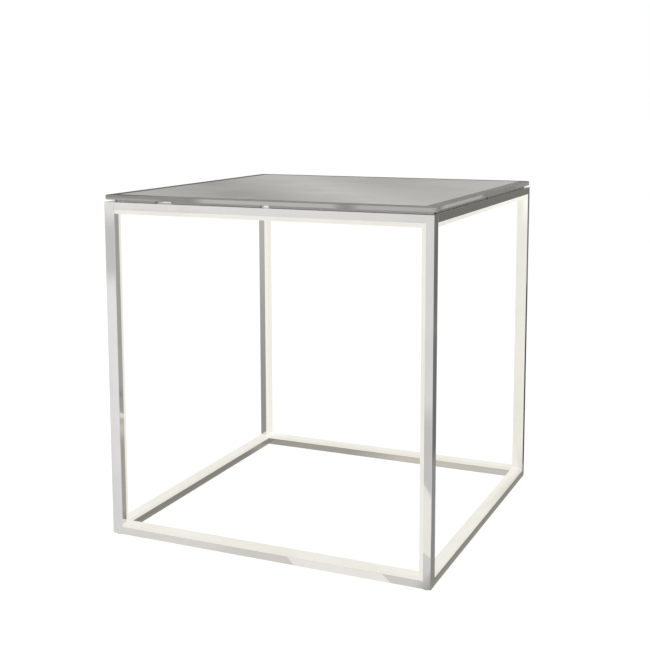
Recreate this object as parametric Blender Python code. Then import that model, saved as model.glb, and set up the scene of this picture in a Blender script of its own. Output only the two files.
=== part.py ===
"""Cube side table with a lit frame: twelve chrome channels with opal light strips and a glass top.

The frame is four alike sides, set a quarter turn apart round the table. Each side is a C lying in one
vertical plane: a bottom rail, a leg at its right-hand end and a top rail, mitred where they meet. The
free ends of its rails butt against the corner of the side on its left. Z = 0 is the floor.
"""
import math

import bmesh
import bpy
from mathutils import Matrix, Vector

# Table
TABLE_WIDTH = 0.450
FRAME_HEIGHT = 0.448
SIDE_NAMES = ("front", "right", "back", "left")
LEG_NAMES = ("front_right", "back_right", "back_left", "front_left")

# Square bar: a chrome channel closed by an opal diffuser, which takes this share of its depth
MEMBER_SIZE = 0.015
DIFFUSER_SHARE = 1 / 3
CHANNEL_WALL = 0.0015
EDGE_CHAMFER = 0.0004
TONGUE_DEPTH = 0.002

# Clearances between pieces, and how far a cutter or a joined shape runs past a face
FIT_GAP = 0.0003
OVERRUN = 0.001
SUNK = 0.0001

# Glass top and the tape that it lies on
GLASS_THICKNESS = 0.006
GLASS_GAP = 0.003
GLASS_CORNER_RADIUS = 0.005
GLASS_ARRIS = 0.0008
GLAZING_INSET = 0.004
GLAZING_WIDTH = 0.007
GLAZING_END = 0.018
GLAZING_BREAK = 0.012
FRONT_CUT_SHARE = 2 / 3
FRONT_BREAK = 0.0235

# Foot pads
PAD_THICKNESS = 0.0012
PAD_RADIUS = 0.0055

# Light-emitting tape and its chips
TAPE_THICKNESS = 0.0008
TAPE_BEND_RADIUS = 0.006
TAPE_END = 0.001
CHIP_LENGTH = 0.0035
CHIP_WIDTH = 0.0028
CHIP_HEIGHT = 0.001
CHIP_PITCH = 0.028
CHIP_CORNER_MARGIN = 0.024
CHIP_END_MARGIN = 0.012

# Corner brackets
BRACKET_THICKNESS = 0.0024
BRACKET_ARM = 0.032
BRACKET_REACH = 0.017
CROSS_ARM_TAPE_GAP = 0.0005

# Leads and the low-voltage socket
LEAD_RADIUS = 0.0008
LEAD_OVERLAP = 0.0045
LEAD_WINDOW_GAP = 0.0003
SOCKET_FROM_END = 0.012
SOCKET_LENGTH = 0.009
SOCKET_ARM_GAP = 0.0004
SOCKET_BACK_WALL = 0.0018
NOZZLE_MARGIN = 0.00045
NOZZLE_WALL = 0.0007
NOZZLE_RECESS = 0.0001
PIN_RADIUS = 0.00065
PIN_SET_BACK = 0.001
SOCKET_TAPE_GAP = 0.002

# Facets of round shapes, and the angles in degrees up to which their faces blend
BEND_SEGMENTS = 6
GLASS_CORNER_SEGMENTS = 6
ROUND_FACETS = 24
LEAD_FACETS = 10
ROUND_BLEND = 40
ARRIS_BLEND = 20

# Worked out from the sizes above
HALF = TABLE_WIDTH / 2
CHANNEL_DEPTH = MEMBER_SIZE * (1 - DIFFUSER_SHARE)
FLOOR_INSIDE = CHANNEL_WALL + FIT_GAP
TONGUE_START = CHANNEL_DEPTH - TONGUE_DEPTH
ROOM_DEPTH = TONGUE_START - FIT_GAP
MITRE_SETBACK = FIT_GAP / math.sqrt(2)
FRAME_BASE = PAD_THICKNESS + FIT_GAP
FRAME_TOP = FRAME_BASE + FRAME_HEIGHT
RAIL_START = -HALF + MEMBER_SIZE + FIT_GAP
RAIL_LENGTH = HALF - RAIL_START
TAPE_WIDTH = MEMBER_SIZE - 2 * (FLOOR_INSIDE + BRACKET_THICKNESS + FIT_GAP)
TAPE_TOP = FLOOR_INSIDE + TAPE_THICKNESS
LEAD_LEVEL = TAPE_TOP + FIT_GAP + LEAD_RADIUS
LEAD_ACROSS = (MEMBER_SIZE + TAPE_WIDTH) / 2 - LEAD_RADIUS - SUNK
CROSS_ARM_NEAR = MEMBER_SIZE - FLOOR_INSIDE - BRACKET_THICKNESS
CROSS_ARM_HEIGHT = ROOM_DEPTH - TAPE_TOP - CROSS_ARM_TAPE_GAP
SOCKET_BODY_WIDTH = CROSS_ARM_NEAR - FLOOR_INSIDE - SOCKET_ARM_GAP
NOZZLE_RADIUS = (ROOM_DEPTH - FLOOR_INSIDE) / 2 - NOZZLE_MARGIN
SOCKET_BORE_RADIUS = NOZZLE_RADIUS - NOZZLE_WALL
SOCKET_BORE_DEPTH = FLOOR_INSIDE + SOCKET_BODY_WIDTH - NOZZLE_RECESS - SOCKET_BACK_WALL
TAPE_START = RAIL_START + TAPE_END
BACK_TAPE_START = RAIL_START + SOCKET_FROM_END + SOCKET_LENGTH / 2 + SOCKET_TAPE_GAP

# How a bar's own directions, across, depth and along, lie in its side's plane
BOTTOM_TURN = Matrix(((0, 0, 1), (1, 0, 0), (0, 1, 0))).to_4x4()
LEG_TURN = Matrix(((0, -1, 0), (1, 0, 0), (0, 0, 1))).to_4x4()
TOP_TURN = Matrix(((0, 0, -1), (1, 0, 0), (0, -1, 0))).to_4x4()


def clear_scene():
    """Remove every object, so that the script starts from an empty scene."""
    for item in list(bpy.data.objects):
        bpy.data.objects.remove(item)


def new_collection(name):
    """A collection linked to the scene."""
    group = bpy.data.collections.new(name)
    bpy.context.scene.collection.children.link(group)
    return group


def new_material(name, colour, roughness, metallic=0.0, glow=0.0, transmission=0.0):
    """A Principled material with the finish of one kind of piece."""
    material = bpy.data.materials.new(name)
    material.use_nodes = True
    shader = material.node_tree.nodes["Principled BSDF"]
    shader.inputs["Base Color"].default_value = (*colour, 1.0)
    shader.inputs["Roughness"].default_value = roughness
    shader.inputs["Metallic"].default_value = metallic
    shader.inputs["Transmission Weight"].default_value = transmission
    shader.inputs["Emission Color"].default_value = (*colour, 1.0)
    shader.inputs["Emission Strength"].default_value = glow
    return material


def place_object(name, mesh, material, parent=None, matrix=None):
    """One sub-part in the table's collection, placed under its side."""
    item = bpy.data.objects.new(name, mesh)
    table.objects.link(item)
    item.parent = parent
    item.matrix_local = matrix or Matrix()
    if not mesh.materials:
        mesh.materials.append(material)
    return item


def as_cutter(mesh, name, parent=None, matrix=None):
    """A shape that only cuts or joins others: drawn as wire and left out of renders."""
    item = bpy.data.objects.new(name, mesh)
    cutters.objects.link(item)
    item.parent = parent
    item.matrix_local = matrix or Matrix()
    item.hide_render = True
    item.display_type = "WIRE"
    return item


def mesh_from(build, name):
    """A mesh filled by a function that works on a bmesh."""
    work = bmesh.new()
    build(work)
    bmesh.ops.recalc_face_normals(work, faces=work.faces)
    mesh = bpy.data.meshes.new(name)
    work.to_mesh(mesh)
    work.free()
    return mesh


def add_box(work, low, high):
    """A box between two corners."""
    low, high = Vector(low), Vector(high)
    size = high - low
    shape = Matrix.Translation((low + high) / 2) @ Matrix.Diagonal((*size, 1.0))
    return bmesh.ops.create_cube(work, size=1.0, matrix=shape)["verts"]


def box_mesh(name, low, high):
    """A mesh of one box."""
    return mesh_from(lambda work: add_box(work, low, high), name)


def cylinder_mesh(name, radius, start, end, facets):
    """A capped cylinder from one point to another."""
    start, end = Vector(start), Vector(end)
    run = end - start

    def build(work):
        turn = run.to_track_quat("Z", "Y").to_matrix().to_4x4()
        shape = Matrix.Translation((start + end) / 2) @ turn
        bmesh.ops.create_cone(work, cap_ends=True, segments=facets, radius1=radius, radius2=radius,
                              depth=run.length, matrix=shape)

    mesh = mesh_from(build, name)
    mesh.shade_smooth()
    mesh.set_sharp_from_angle(angle=math.radians(ROUND_BLEND))
    return mesh


def outline_mesh(name, points, length):
    """A closed flat outline extruded by a length along its own Z, from zero up."""
    curve = bpy.data.curves.new(name, "CURVE")
    curve.dimensions = "2D"
    curve.fill_mode = "BOTH"
    curve.extrude = length / 2
    spline = curve.splines.new("POLY")
    spline.points.add(len(points) - 1)
    for point, (u, v) in zip(spline.points, points):
        point.co = (u, v, 0.0, 1.0)
    spline.use_cyclic_u = True
    holder = bpy.data.objects.new(name, curve)
    cutters.objects.link(holder)
    bpy.context.view_layer.update()
    graph = bpy.context.evaluated_depsgraph_get()
    mesh = bpy.data.meshes.new_from_object(holder.evaluated_get(graph))
    bpy.data.objects.remove(holder)
    work = bmesh.new()
    work.from_mesh(mesh)
    bmesh.ops.remove_doubles(work, verts=work.verts, dist=SUNK)
    bmesh.ops.translate(work, verts=work.verts, vec=(0.0, 0.0, length / 2))
    bmesh.ops.recalc_face_normals(work, faces=work.faces)
    work.to_mesh(mesh)
    work.free()
    mesh.name = name
    mesh.materials.clear()
    return mesh


def carved(mesh, tools, operation="DIFFERENCE", place=None):
    """The mesh, held at its place, after each tool has been cut from it or joined to it."""
    holder = bpy.data.objects.new(mesh.name, mesh)
    cutters.objects.link(holder)
    holder.matrix_local = place or Matrix()
    for tool in tools:
        modifier = holder.modifiers.new(tool.name, "BOOLEAN")
        modifier.operation = operation
        modifier.solver = "EXACT"
        modifier.object = tool
    bpy.context.view_layer.update()
    graph = bpy.context.evaluated_depsgraph_get()
    result = bpy.data.meshes.new_from_object(holder.evaluated_get(graph))
    bpy.data.objects.remove(holder)
    return result


def mitred_bar(name, outline, length, mitre_start, mitre_end):
    """A bar with the given section, its ends square or cut at 45 degrees from the outer face inwards."""
    mesh = outline_mesh(name, outline, length)
    for vertex in mesh.vertices:
        at_start = vertex.co.z < length / 2
        if at_start and mitre_start:
            vertex.co.z = vertex.co.y + MITRE_SETBACK
        elif not at_start and mitre_end:
            vertex.co.z = length - vertex.co.y - MITRE_SETBACK
    return mesh


def channel_outline():
    """The U section: outer face at depth zero, open at the diffuser's side, outer edges eased."""
    far = MEMBER_SIZE - EDGE_CHAMFER
    inner = MEMBER_SIZE - CHANNEL_WALL
    return [(EDGE_CHAMFER, 0.0), (far, 0.0), (MEMBER_SIZE, EDGE_CHAMFER), (MEMBER_SIZE, CHANNEL_DEPTH),
            (inner, CHANNEL_DEPTH), (inner, CHANNEL_WALL), (CHANNEL_WALL, CHANNEL_WALL),
            (CHANNEL_WALL, CHANNEL_DEPTH), (0.0, CHANNEL_DEPTH), (0.0, EDGE_CHAMFER)]


def diffuser_outline():
    """The T section: a slab as wide as the bar, and a tongue that sits between the channel's walls."""
    seat = CHANNEL_DEPTH + FIT_GAP
    near = CHANNEL_WALL + FIT_GAP
    inner = MEMBER_SIZE - near
    far = MEMBER_SIZE - EDGE_CHAMFER
    return [(near, TONGUE_START), (inner, TONGUE_START), (inner, seat), (MEMBER_SIZE, seat),
            (MEMBER_SIZE, far), (far, MEMBER_SIZE), (EDGE_CHAMFER, MEMBER_SIZE), (0.0, far),
            (0.0, seat), (near, seat)]


def tape_line(start, inset, radius):
    """The C that the tape follows, seen from the front: along, up and back, bent round both corners."""
    side = HALF - inset
    top = FRAME_HEIGHT - inset
    line = [(start, inset)]
    for centre_z, first in ((inset + radius, -90), (top - radius, 0)):
        for step in range(BEND_SEGMENTS + 1):
            angle = math.radians(first + 90 * step / BEND_SEGMENTS)
            line.append((side - radius + radius * math.cos(angle), centre_z + radius * math.sin(angle)))
    line.append((TAPE_START, top))
    return line


def chip_places(start):
    """Where the chips sit: run, position along it, for the bottom rail, the leg and the top rail."""
    runs = (("bottom", start + CHIP_END_MARGIN, HALF - CHIP_CORNER_MARGIN),
            ("leg", CHIP_CORNER_MARGIN, FRAME_HEIGHT - CHIP_CORNER_MARGIN),
            ("top", TAPE_START + CHIP_END_MARGIN, HALF - CHIP_CORNER_MARGIN))
    for run, first, last in runs:
        count = int((last - first) / CHIP_PITCH) + 1
        for number in range(count):
            yield run, first + (last - first) * number / (count - 1)


def tape_mesh(name, start):
    """One flexible board bent round a side, with its chips joined on."""
    outer = tape_line(start, FLOOR_INSIDE, TAPE_BEND_RADIUS)
    inner = tape_line(start, TAPE_TOP, TAPE_BEND_RADIUS - TAPE_THICKNESS)
    board = outline_mesh(name, outer + inner[::-1], TAPE_WIDTH)
    centre = TAPE_WIDTH / 2
    low = TAPE_TOP - SUNK
    high = TAPE_TOP + CHIP_HEIGHT

    def build(work):
        for run, place in chip_places(start):
            near, far = place - CHIP_LENGTH / 2, place + CHIP_LENGTH / 2
            if run == "bottom":
                spans = ((near, far), (low, high))
            elif run == "leg":
                spans = ((HALF - high, HALF - low), (near, far))
            else:
                spans = ((near, far), (FRAME_HEIGHT - high, FRAME_HEIGHT - low))
            across = (centre - CHIP_WIDTH / 2, centre + CHIP_WIDTH / 2)
            add_box(work, (spans[0][0], spans[1][0], across[0]), (spans[0][1], spans[1][1], across[1]))

    chips = as_cutter(mesh_from(build, name + "_chips"), name + "_chips")
    return carved(board, [chips], "UNION")


def tape_place():
    """The tape's outline is drawn flat: this stands it up in the middle of the bar's width."""
    across = (MEMBER_SIZE + TAPE_WIDTH) / 2
    return Matrix.Translation((0.0, -HALF + across, 0.0)) @ Matrix.Rotation(math.radians(90), 4, "X")


def levels(low, high, top):
    """Two heights measured from the nearer end of the leg, given in rising order."""
    if top:
        return FRAME_HEIGHT - high, FRAME_HEIGHT - low
    return low, high


def bracket_mesh(name, top):
    """The flat L that ties leg to rail, with an arm through the corner into the next side's rail."""
    near_face = -HALF + FLOOR_INSIDE
    far_face = near_face + BRACKET_THICKNESS
    low, high = levels(FLOOR_INSIDE, ROOM_DEPTH, top)
    leg_low, leg_high = levels(FLOOR_INSIDE, BRACKET_ARM, top)
    arm_low, arm_high = levels(ROOM_DEPTH - CROSS_ARM_HEIGHT, ROOM_DEPTH, top)
    outer = HALF - FLOOR_INSIDE
    rail_arm = box_mesh(name, (HALF - BRACKET_ARM, near_face, low), (outer, far_face, high))
    leg_arm = box_mesh(name + "_leg_arm", (HALF - ROOM_DEPTH, near_face, leg_low),
                       (outer, far_face, leg_high))
    cross_arm = box_mesh(name + "_cross_arm",
                         (HALF - CROSS_ARM_NEAR - BRACKET_THICKNESS, near_face, arm_low),
                         (HALF - CROSS_ARM_NEAR, -HALF + MEMBER_SIZE + BRACKET_REACH, arm_high))
    joined = [as_cutter(leg_arm, leg_arm.name), as_cutter(cross_arm, cross_arm.name)]
    return carved(rail_arm, joined, "UNION")


def corner_windows(name, top):
    """Cutters for the window in a rail's inner wall that the cross arm and the lead pass through."""
    wall_near = -HALF + MEMBER_SIZE - CHANNEL_WALL - OVERRUN
    wall_far = -HALF + MEMBER_SIZE + OVERRUN
    low, high = levels(ROOM_DEPTH - CROSS_ARM_HEIGHT - FIT_GAP, ROOM_DEPTH + FIT_GAP, top)
    arm = box_mesh(name + "_arm_window", (HALF - MEMBER_SIZE + CHANNEL_WALL, wall_near, low),
                   (HALF - CROSS_ARM_NEAR + FIT_GAP, wall_far, high))
    windows = [as_cutter(arm, arm.name)]
    if not top:
        reach = LEAD_RADIUS + LEAD_WINDOW_GAP
        lead = box_mesh(name + "_lead_window",
                        (HALF - LEAD_ACROSS - reach, wall_near, LEAD_LEVEL - reach),
                        (HALF - LEAD_ACROSS + reach, wall_far, LEAD_LEVEL + reach))
        windows.append(as_cutter(lead, lead.name))
    return windows


def side_matrix(turn, start):
    """Places a bar whose own origin is its outer edge at the start of its run."""
    return Matrix.Translation(start) @ turn


def glazing_runs(side):
    """Where each length of a side's glazing tape starts and stops. The front has three of them."""
    first, last = -HALF + GLAZING_END, HALF - GLAZING_END
    if side != "front":
        return {"a": (first, 0.0), "b": (GLAZING_BREAK, last)}
    cut = -HALF * FRONT_CUT_SHARE
    return {"a": (first, cut), "b": (cut + FRONT_BREAK, 0.0), "c": (GLAZING_BREAK, HALF - GLAZING_INSET)}


def glass_mesh():
    """The plate, with rounded corners and a small arris round both faces."""
    low = FRAME_TOP + GLASS_GAP

    def build(work):
        add_box(work, (-HALF, -HALF, low), (HALF, HALF, low + GLASS_THICKNESS))
        upright = [edge for edge in work.edges
                   if abs(edge.verts[0].co.z - edge.verts[1].co.z) > GLASS_THICKNESS / 2]
        bmesh.ops.bevel(work, geom=upright, offset=GLASS_CORNER_RADIUS, offset_type="OFFSET",
                        segments=GLASS_CORNER_SEGMENTS, profile=0.5, affect="EDGES", material=-1)
        rims = [edge for edge in work.edges
                if abs(edge.verts[0].co.z - edge.verts[1].co.z) < GLASS_THICKNESS / 2]
        bmesh.ops.bevel(work, geom=rims, offset=GLASS_ARRIS, offset_type="OFFSET",
                        segments=1, profile=0.5, affect="EDGES", material=-1)

    mesh = mesh_from(build, "glass_top")
    mesh.shade_smooth()
    mesh.set_sharp_from_angle(angle=math.radians(ARRIS_BLEND))
    return mesh


def socket_pieces():
    """The low-voltage socket in the back bottom rail, drawn in that side's frame: housing and pin."""
    centre_x = RAIL_START + SOCKET_FROM_END
    centre_z = (FLOOR_INSIDE + ROOM_DEPTH) / 2
    near = -HALF + FLOOR_INSIDE
    far = near + SOCKET_BODY_WIDTH
    mouth = -HALF + NOZZLE_RECESS
    body = box_mesh("socket_housing", (centre_x - SOCKET_LENGTH / 2, near, FLOOR_INSIDE),
                    (centre_x + SOCKET_LENGTH / 2, far, ROOM_DEPTH))
    nozzle = cylinder_mesh("socket_nozzle", NOZZLE_RADIUS, (centre_x, mouth, centre_z),
                           (centre_x, near + OVERRUN, centre_z), ROUND_FACETS)
    bore = cylinder_mesh("socket_bore", SOCKET_BORE_RADIUS, (centre_x, mouth - OVERRUN, centre_z),
                         (centre_x, mouth + SOCKET_BORE_DEPTH, centre_z), ROUND_FACETS)
    whole = carved(body, [as_cutter(nozzle, nozzle.name)], "UNION")
    housing = carved(whole, [as_cutter(bore, bore.name)])
    pin = cylinder_mesh("socket_pin", PIN_RADIUS, (centre_x, mouth + PIN_SET_BACK, centre_z),
                        (centre_x, mouth + SOCKET_BORE_DEPTH - FIT_GAP, centre_z), ROUND_FACETS)
    hole = cylinder_mesh("socket_hole", NOZZLE_RADIUS + FIT_GAP, (centre_x, -HALF - OVERRUN, centre_z),
                         (centre_x, near + OVERRUN, centre_z), ROUND_FACETS)
    return housing, pin, hole


def jumper_mesh(name):
    """A short lead from a side's tape, over the tape of the side on its right, through the window."""
    x = HALF - LEAD_ACROSS
    tape_middle = -HALF + MEMBER_SIZE / 2
    far_end = TAPE_START + LEAD_OVERLAP
    return cylinder_mesh(name, LEAD_RADIUS, (x, tape_middle, LEAD_LEVEL), (x, far_end, LEAD_LEVEL),
                         LEAD_FACETS)


def supply_mesh(name):
    """The lead from the socket to the start of the back tape, in the back side's frame."""
    y = -HALF + MEMBER_SIZE / 2
    start = RAIL_START + SOCKET_FROM_END + SOCKET_LENGTH / 2 + FIT_GAP
    return cylinder_mesh(name, LEAD_RADIUS, (start, y, LEAD_LEVEL),
                         (BACK_TAPE_START + LEAD_OVERLAP, y, LEAD_LEVEL), LEAD_FACETS)


clear_scene()
table = new_collection("lit_side_table")
cutters = new_collection("cutters")

chrome = new_material("polished_chrome", (0.78, 0.78, 0.79), 0.07, metallic=1.0)
opal = new_material("opal_diffuser", (0.93, 0.92, 0.85), 0.45, glow=0.6)
satin_glass = new_material("satin_grey_glass", (0.52, 0.53, 0.52), 0.12, transmission=0.5)
grey_tape = new_material("glazing_tape", (0.20, 0.20, 0.19), 0.75)
steel = new_material("zinc_plated_steel", (0.60, 0.61, 0.62), 0.35, metallic=1.0)
board = new_material("white_circuit_board", (0.88, 0.88, 0.86), 0.5)
clear_pad = new_material("foot_pad_rubber", (0.70, 0.70, 0.69), 0.6)
black_plastic = new_material("black_plastic", (0.03, 0.03, 0.03), 0.4)
nickel = new_material("nickel_plated_pin", (0.66, 0.64, 0.60), 0.2, metallic=1.0)
lead_jacket = new_material("lead_jacket", (0.80, 0.80, 0.78), 0.55)

# Bars of one side, each as a shared mesh and its place in the side
bottom_place = side_matrix(BOTTOM_TURN, (RAIL_START, -HALF, 0.0))
leg_place = side_matrix(LEG_TURN, (HALF, -HALF, 0.0))
top_place = side_matrix(TOP_TURN, (HALF, -HALF, FRAME_HEIGHT))
bars = {}
for kind, section in (("channel", channel_outline()), ("diffuser", diffuser_outline())):
    bars["bottom", kind] = mitred_bar("bottom_" + kind, section, RAIL_LENGTH, False, True)
    bars["leg", kind] = mitred_bar("leg_" + kind, section, FRAME_HEIGHT, True, True)
    bars["top", kind] = mitred_bar("top_" + kind, section, RAIL_LENGTH, True, False)
bars["bottom", "channel"] = carved(bars["bottom", "channel"], corner_windows("bottom", False),
                                   place=bottom_place)
bars["top", "channel"] = carved(bars["top", "channel"], corner_windows("top", True), place=top_place)
brackets = {False: bracket_mesh("bottom_bracket", False), True: bracket_mesh("top_bracket", True)}
tape = tape_mesh("light_tape", TAPE_START)
back_tape = tape_mesh("back_light_tape", BACK_TAPE_START)
jumper = jumper_mesh("jumper_lead")
pad_centre = HALF - MEMBER_SIZE / 2
pad = cylinder_mesh("foot_pad", PAD_RADIUS, (pad_centre, -pad_centre, -FRAME_BASE),
                    (pad_centre, -pad_centre, -FIT_GAP), ROUND_FACETS)
strip_low = FRAME_HEIGHT + FIT_GAP
strip_high = FRAME_HEIGHT + GLASS_GAP - FIT_GAP
strip_near = -HALF + GLAZING_INSET
strip_far = strip_near + GLAZING_WIDTH

# The four sides
sides = {}
for number, (side, leg) in enumerate(zip(SIDE_NAMES, LEG_NAMES)):
    frame = bpy.data.objects.new(side + "_side", None)
    table.objects.link(frame)
    frame.location = (0.0, 0.0, FRAME_BASE)
    frame.rotation_euler = (0.0, 0.0, math.radians(90) * number)
    sides[side] = frame
    for kind, finish in (("channel", chrome), ("diffuser", opal)):
        place_object(f"{side}_bottom_{kind}", bars["bottom", kind], finish, frame, bottom_place)
        place_object(f"{leg}_leg_{kind}", bars["leg", kind], finish, frame, leg_place)
        place_object(f"{side}_top_{kind}", bars["top", kind], finish, frame, top_place)
    place_object(f"{side}_light_tape", back_tape if side == "back" else tape, board, frame, tape_place())
    place_object(f"{leg}_bottom_bracket", brackets[False], steel, frame)
    place_object(f"{leg}_top_bracket", brackets[True], steel, frame)
    place_object(f"{leg}_foot_pad", pad, clear_pad, frame)
    for letter, (start, stop) in glazing_runs(side).items():
        strip = f"{side}_glazing_tape_{letter}"
        strip_mesh = box_mesh(strip, (start, strip_near, strip_low), (stop, strip_far, strip_high))
        place_object(strip, strip_mesh, grey_tape, frame)
    if side != "right":
        place_object(f"{leg}_jumper_lead", jumper, lead_jacket, frame)

# The socket and its lead, in the back side
housing_mesh, pin_mesh, hole_mesh = socket_pieces()
back = sides["back"]
place_object("socket_housing", housing_mesh, black_plastic, back)
place_object("socket_pin", pin_mesh, nickel, back)
place_object("supply_lead", supply_mesh("supply_lead"), lead_jacket, back)
hole = as_cutter(hole_mesh, "socket_hole", back)
cut = bpy.data.objects["back_bottom_channel"].modifiers.new("socket_hole", "BOOLEAN")
cut.operation = "DIFFERENCE"
cut.solver = "EXACT"
cut.object = hole

# The glass, which lifts straight off its tape
place_object("glass_top", glass_mesh(), satin_glass)
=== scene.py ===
# %% [markdown]
# # A lit side table
#
# The object is a cube-shaped side table. Twelve slim square bars make its frame, each a polished chrome
# channel with an opal light strip on the side that looks into the frame, and a plate of grey glass lies
# on top. The chrome, the opal strips and the glass are all plain shapes, so nearly everything that makes
# them look real comes from their edges, their surface marks and what they reflect.
#
# The measured model is loaded first. It is fixed: this script dresses it and never moves it.

# %% Load the measured model
import math

import bmesh
import bpy
from mathutils import Matrix, Vector


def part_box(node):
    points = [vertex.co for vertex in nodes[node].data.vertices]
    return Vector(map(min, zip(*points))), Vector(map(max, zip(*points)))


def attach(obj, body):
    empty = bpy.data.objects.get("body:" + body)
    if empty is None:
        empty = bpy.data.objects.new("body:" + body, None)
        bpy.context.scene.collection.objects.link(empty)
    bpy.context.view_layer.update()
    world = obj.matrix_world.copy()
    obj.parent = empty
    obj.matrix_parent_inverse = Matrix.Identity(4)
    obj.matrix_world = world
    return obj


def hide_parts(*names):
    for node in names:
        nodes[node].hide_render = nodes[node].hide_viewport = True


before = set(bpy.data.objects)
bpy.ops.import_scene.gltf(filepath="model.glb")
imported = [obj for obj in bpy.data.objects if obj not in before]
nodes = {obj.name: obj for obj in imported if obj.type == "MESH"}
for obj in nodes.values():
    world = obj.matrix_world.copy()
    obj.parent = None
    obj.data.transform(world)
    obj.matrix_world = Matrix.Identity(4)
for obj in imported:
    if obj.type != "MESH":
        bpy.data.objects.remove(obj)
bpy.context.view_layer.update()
SIDES = ("front", "right", "back", "left")
LEGS = ("front_right", "back_right", "back_left", "front_left")
LEVELS = ("bottom", "top")

# %% [markdown]
# ## Lengths that the pieces share
#
# The bars are 15 mm square: 10 mm of chrome and 5 mm of opal. The lengths are read from the nodes, so that
# a dressed piece stays where the measured one is.

# %% Lengths read from the model
glass_low, glass_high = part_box("glass_top")
rail_low, rail_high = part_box("front_bottom_channel")
HALF = glass_high.x
BAR = rail_high.y - rail_low.y
FRAME_BASE = rail_low.z
print("half width", round(HALF, 4), "bar", round(BAR, 4), "underside of the frame", round(FRAME_BASE, 4))

# %% [markdown]
# ## The camera
#
# The table is seen from the front and a little from the right, from just above its top. The frame's
# uprights are parallel in the picture, as in a product shot made with a view camera: the lens looks almost
# level and the film is shifted down. Most of that is done here by tilting the camera a few degrees, and
# the rest by a small shift, so that the other views of the table stay in the frame.

# %% Camera
scene = bpy.context.scene
PICTURE = 650
FOCAL_PIXELS = 1116.2
CENTRE_ROW = 247.0
SENSOR_WIDTH = 36.0
YAW, PITCH, ROLL = (math.radians(angle) for angle in (24.025, 7.472, -0.155))
CAMERA_AT = Vector((0.6249, -1.4276, 0.5774 + FRAME_BASE))


def camera_axes(yaw, pitch, roll):
    """The camera's own right, up and forward directions."""
    forward = Vector((-math.sin(yaw) * math.cos(pitch), math.cos(yaw) * math.cos(pitch), -math.sin(pitch)))
    level = Vector((math.cos(yaw), math.sin(yaw), 0.0))
    rise = level.cross(forward)
    right = level * math.cos(roll) + rise * math.sin(roll)
    up = rise * math.cos(roll) - level * math.sin(roll)
    return right, up, forward


right, up, forward = camera_axes(YAW, PITCH, ROLL)
lens = bpy.data.cameras.new("camera")
lens.sensor_width = SENSOR_WIDTH
lens.lens = FOCAL_PIXELS / PICTURE * SENSOR_WIDTH
lens.shift_y = (CENTRE_ROW - PICTURE / 2) / PICTURE
lens.clip_start, lens.clip_end = 0.01, 200.0
camera = bpy.data.objects.new("camera", lens)
scene.collection.objects.link(camera)
camera.matrix_world = Matrix.Translation(CAMERA_AT) @ Matrix((right, up, -forward)).transposed().to_4x4()
scene.camera = camera
scene.view_settings.view_transform = "Standard"
print("lens", round(lens.lens, 2), "mm, shift", round(lens.shift_y, 3))

# %% [markdown]
# ## A short way to add shader nodes
#
# A procedural material is a small graph. One helper adds a node, sets its options and fills its inputs,
# each with a number or with another node's output, so that the graph can be read like a sentence. The
# other helpers are the few kinds of node that most of the graphs need.

# %% Node helpers
def add(tree, kind, wires=None, **options):
    """A node: options are its own settings, wires its inputs, as values or as another node's output."""
    node = tree.nodes.new(kind)
    for name, value in options.items():
        setattr(node, name, value)
    for name, value in (wires or {}).items():
        if isinstance(value, bpy.types.NodeSocket):
            tree.links.new(value, node.inputs[name])
        else:
            node.inputs[name].default_value = value
    return node


def maths(tree, operation, first, second=0.0):
    """The result of one sum on two values."""
    return add(tree, "ShaderNodeMath", {0: first, 1: second}, operation=operation).outputs[0]


def product(tree, first, second):
    """One value times another."""
    return maths(tree, "MULTIPLY", first, second)


def faded(tree, value, low, high, from_value=0.0, to_value=1.0, curve="SMOOTHSTEP"):
    """A value that goes from one number to another as the input rises from low to high."""
    wires = {"Value": value, "From Min": low, "From Max": high, "To Min": from_value, "To Max": to_value}
    return add(tree, "ShaderNodeMapRange", wires, interpolation_type=curve).outputs[0]


def blend(tree, share, first, second):
    """A value between two others."""
    return add(tree, "ShaderNodeMix", {0: share, 2: first, 3: second}, data_type="FLOAT").outputs[0]


def tinted(tree, mask, under, over):
    """One colour where the mask is dark and another where it is light, each as numbers or as an output."""
    under, over = ((*colour, 1.0) if isinstance(colour, tuple) else colour for colour in (under, over))
    return add(tree, "ShaderNodeMix", {0: mask, 6: under, 7: over}, data_type="RGBA").outputs[2]


def either(tree, share, first, second):
    """One shader where the share is zero and another where it is one."""
    wires = {0: share, 1: first.outputs[0], 2: second.outputs[0]}
    return add(tree, "ShaderNodeMixShader", wires)


def on_axes(tree, vector):
    """A vector's three parts, as outputs named X, Y and Z."""
    return add(tree, "ShaderNodeSeparateXYZ", {0: vector}).outputs


print("node helpers ready")

# %% [markdown]
# ## The studio: what the chrome and the glass see
#
# Polished chrome has no colour of its own: it shows the room. The room here is a white studio that is
# bright on the camera's side and dim behind, as in most product shots, which is why the front faces of the
# bars look silver and the right-hand faces look dark grey. The background light has three parts: the
# camera sees plain white, matt surfaces receive an even soft light, and mirror-like surfaces see a room
# with a bright ceiling, a dimmer band near the horizon, and one low strip of window light behind the
# table. That strip is what draws the soft slanting band across the glass.

# %% World light
WHITE = (1.0, 1.0, 1.0, 1.0)
WARM_WHITE = (1.0, 0.985, 0.95, 1.0)
HORIZON = 0.50
CEILING = 0.90
BACK_WALL = 0.24
SOFT_LIGHT = 0.40

# Sines of the heights where the horizon's light ends and the ceiling's is full
CEILING_FADE = (0.05, 0.7)

# In degrees: where the back wall fades out, to its sides and upwards
BACK_WALL_SIDES, BACK_WALL_TOP = (50.0, 100.0), (24.0, 50.0)

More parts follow.
